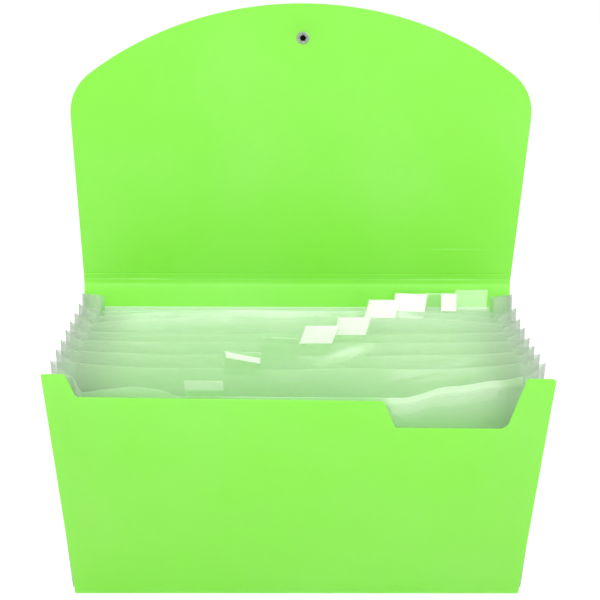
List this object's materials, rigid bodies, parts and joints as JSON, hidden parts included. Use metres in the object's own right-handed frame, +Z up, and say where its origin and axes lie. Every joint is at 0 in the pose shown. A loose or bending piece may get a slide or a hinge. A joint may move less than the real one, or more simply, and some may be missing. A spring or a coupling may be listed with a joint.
{
  "type": "expanding file",
  "caption": "Landscape expanding file with a folded plastic cover, raised arched flap, pleated film bellows and stepped index tabs.",
  "frame": {"origin": "middle of the underside of the base panel", "axes": "+Z up, +X along the width towards the thumb notch, +Y from the front panel to the back panel"},
  "size_m": [0.2632, 0.1308, 0.3294],
  "materials": {
    "cover": "lime green polypropylene sheet, satin gloss",
    "film": "thin translucent pale green film",
    "sleeve": "clear folded sleeve",
    "card": "plain white card",
    "metal": "nickel-plated steel",
    "anchor": "black, with a bevelled end"
  },
  "bodies": {
    "base": {"base_panel": "cover", "pocket_floor": "film"},
    "back_cover": {"back_panel": "cover", "back_liner": "film", "tab_sleeve_1": "sleeve"},
    "front_cover": {"front_panel": "cover"},
    "flap_leaf": {"flap": "cover", "eyelet": "metal", "eyelet_washer": "metal", "elastic_anchor": "anchor"},
    "divider_leaf_1": {"divider_1": "film", "tab_sleeve_2": "sleeve", "tab_card_2": "card"},
    "divider_leaf_2": {"divider_2": "film", "tab_sleeve_3": "sleeve", "tab_card_3": "card"},
    "divider_leaf_3": {"divider_3": "film", "tab_sleeve_4": "sleeve", "tab_card_4": "card"},
    "divider_leaf_4": {"divider_4": "film", "tab_sleeve_5": "sleeve", "tab_card_5": "card"},
    "divider_leaf_5": {"divider_5": "film", "tab_sleeve_6": "sleeve", "tab_card_6": "card"},
    "divider_leaf_6": {"divider_6": "film", "tab_sleeve_7": "sleeve"},
    "divider_leaf_7": {"divider_7": "film", "tab_sleeve_8": "sleeve", "tab_card_8": "card"},
    "divider_leaf_8": {"divider_8": "film", "tab_sleeve_9": "sleeve"},
    "pleat_pair_1": {"pleat_left_1": "film", "pleat_right_1": "film"},
    "pleat_pair_2": {"pleat_left_2": "film", "pleat_right_2": "film"},
    "pleat_pair_3": {"pleat_left_3": "film", "pleat_right_3": "film"},
    "pleat_pair_4": {"pleat_left_4": "film", "pleat_right_4": "film"},
    "pleat_pair_5": {"pleat_left_5": "film", "pleat_right_5": "film"},
    "pleat_pair_6": {"pleat_left_6": "film", "pleat_right_6": "film"},
    "pleat_pair_7": {"pleat_left_7": "film", "pleat_right_7": "film"},
    "pleat_pair_8": {"pleat_left_8": "film", "pleat_right_8": "film"},
    "pleat_pair_9": {"pleat_left_9": "film", "pleat_right_9": "film"}
  },
  "joints": [
    {"name": "back_fold", "type": "hinge", "parent": "base", "child": "back_cover", "pos_m": [0, 0.02, 0.0004], "axis": [1, 0, 0], "range_deg": [0, 18.1]},
    {"name": "front_fold", "type": "hinge", "parent": "base", "child": "front_cover", "pos_m": [0, -0.02, 0.0004], "axis": [1, 0, 0], "range_deg": [-13.3, 0]},
    {"name": "flap_fold", "type": "hinge", "parent": "back_cover", "child": "flap_leaf", "pos_m": [0, 0.0725, 0.16104], "axis": [1, 0, 0], "range_deg": [-150, 70]},
    {"name": "divider_fold_1", "type": "hinge", "parent": "base", "child": "divider_leaf_1", "pos_m": [0, 0.01556, 0.00145], "axis": [1, 0, 0], "range_deg": [0, 14.61]},
    {"name": "divider_fold_2", "type": "hinge", "parent": "base", "child": "divider_leaf_2", "pos_m": [0, 0.01111, 0.00145], "axis": [1, 0, 0], "range_deg": [0, 11.12]},
    {"name": "divider_fold_3", "type": "hinge", "parent": "base", "child": "divider_leaf_3", "pos_m": [0, 0.00667, 0.00145], "axis": [1, 0, 0], "range_deg": [0, 7.63]},
    {"name": "divider_fold_4", "type": "hinge", "parent": "base", "child": "divider_leaf_4", "pos_m": [0, 0.00222, 0.00145], "axis": [1, 0, 0], "range_deg": [0, 4.15]},
    {"name": "divider_fold_5", "type": "hinge", "parent": "base", "child": "divider_leaf_5", "pos_m": [0, -0.00222, 0.00145], "axis": [1, 0, 0], "range_deg": [-0.001, 0.6566]},
    {"name": "divider_fold_6", "type": "hinge", "parent": "base", "child": "divider_leaf_6", "pos_m": [0, -0.00667, 0.00145], "axis": [1, 0, 0], "range_deg": [-2.83, 0]},
    {"name": "divider_fold_7", "type": "hinge", "parent": "base", "child": "divider_leaf_7", "pos_m": [0, -0.01111, 0.00145], "axis": [1, 0, 0], "range_deg": [-6.32, 0]},
    {"name": "divider_fold_8", "type": "hinge", "parent": "base", "child": "divider_leaf_8", "pos_m": [0, -0.01556, 0.00145], "axis": [1, 0, 0], "range_deg": [-9.81, 0]},
    {"name": "pleat_fold_1", "type": "hinge", "parent": "base", "child": "pleat_pair_1", "pos_m": [0, 0.01758, 0.00145], "axis": [1, 0, 0], "range_deg": [0, 16.36], "deforming": ["pleat_left_1", "pleat_right_1"]},
    {"name": "pleat_fold_2", "type": "hinge", "parent": "base", "child": "pleat_pair_2", "pos_m": [0, 0.01333, 0.00145], "axis": [1, 0, 0], "range_deg": [0, 12.87], "deforming": ["pleat_left_2", "pleat_right_2"]},
    {"name": "pleat_fold_3", "type": "hinge", "parent": "base", "child": "pleat_pair_3", "pos_m": [0, 0.00889, 0.00145], "axis": [1, 0, 0], "range_deg": [0, 9.38], "deforming": ["pleat_left_3", "pleat_right_3"]},
    {"name": "pleat_fold_4", "type": "hinge", "parent": "base", "child": "pleat_pair_4", "pos_m": [0, 0.00444, 0.00145], "axis": [1, 0, 0], "range_deg": [0, 5.89], "deforming": ["pleat_left_4", "pleat_right_4"]},
    {"name": "pleat_fold_5", "type": "hinge", "parent": "base", "child": "pleat_pair_5", "pos_m": [0, 0, 0.00145], "axis": [1, 0, 0], "range_deg": [0, 2.4], "deforming": ["pleat_left_5", "pleat_right_5"]},
    {"name": "pleat_fold_6", "type": "hinge", "parent": "base", "child": "pleat_pair_6", "pos_m": [0, -0.00444, 0.00145], "axis": [1, 0, 0], "range_deg": [-1.09, 0], "deforming": ["pleat_left_6", "pleat_right_6"]},
    {"name": "pleat_fold_7", "type": "hinge", "parent": "base", "child": "pleat_pair_7", "pos_m": [0, -0.00889, 0.00145], "axis": [1, 0, 0], "range_deg": [-4.58, 0], "deforming": ["pleat_left_7", "pleat_right_7"]},
    {"name": "pleat_fold_8", "type": "hinge", "parent": "base", "child": "pleat_pair_8", "pos_m": [0, -0.01333, 0.00145], "axis": [1, 0, 0], "range_deg": [-8.07, 0], "deforming": ["pleat_left_8", "pleat_right_8"]},
    {"name": "pleat_fold_9", "type": "hinge", "parent": "base", "child": "pleat_pair_9", "pos_m": [0, -0.0177, 0.00145], "axis": [1, 0, 0], "range_deg": [-11.56, 0], "deforming": ["pleat_left_9", "pleat_right_9"]}
  ],
  "couplings": [
    {"joint": "front_fold", "follows": "back_fold", "ratio": -0.73481},
    {"joint": "divider_fold_1", "follows": "back_fold", "ratio": 0.80724},
    {"joint": "divider_fold_2", "follows": "back_fold", "ratio": 0.61449},
    {"joint": "divider_fold_3", "follows": "back_fold", "ratio": 0.42173},
    {"joint": "divider_fold_4", "follows": "back_fold", "ratio": 0.22898},
    {"joint": "divider_fold_5", "follows": "back_fold", "ratio": 0.036219},
    {"joint": "divider_fold_6", "follows": "back_fold", "ratio": -0.15654},
    {"joint": "divider_fold_7", "follows": "back_fold", "ratio": -0.34929},
    {"joint": "divider_fold_8", "follows": "back_fold", "ratio": -0.54205},
    {"joint": "pleat_fold_1", "follows": "back_fold", "ratio": 0.90362},
    {"joint": "pleat_fold_2", "follows": "back_fold", "ratio": 0.71087},
    {"joint": "pleat_fold_3", "follows": "back_fold", "ratio": 0.51811},
    {"joint": "pleat_fold_4", "follows": "back_fold", "ratio": 0.32535},
    {"joint": "pleat_fold_5", "follows": "back_fold", "ratio": 0.1326},
    {"joint": "pleat_fold_6", "follows": "back_fold", "ratio": -0.06016},
    {"joint": "pleat_fold_7", "follows": "back_fold", "ratio": -0.25292},
    {"joint": "pleat_fold_8", "follows": "back_fold", "ratio": -0.44567},
    {"joint": "pleat_fold_9", "follows": "back_fold", "ratio": -0.63843}
  ]
}
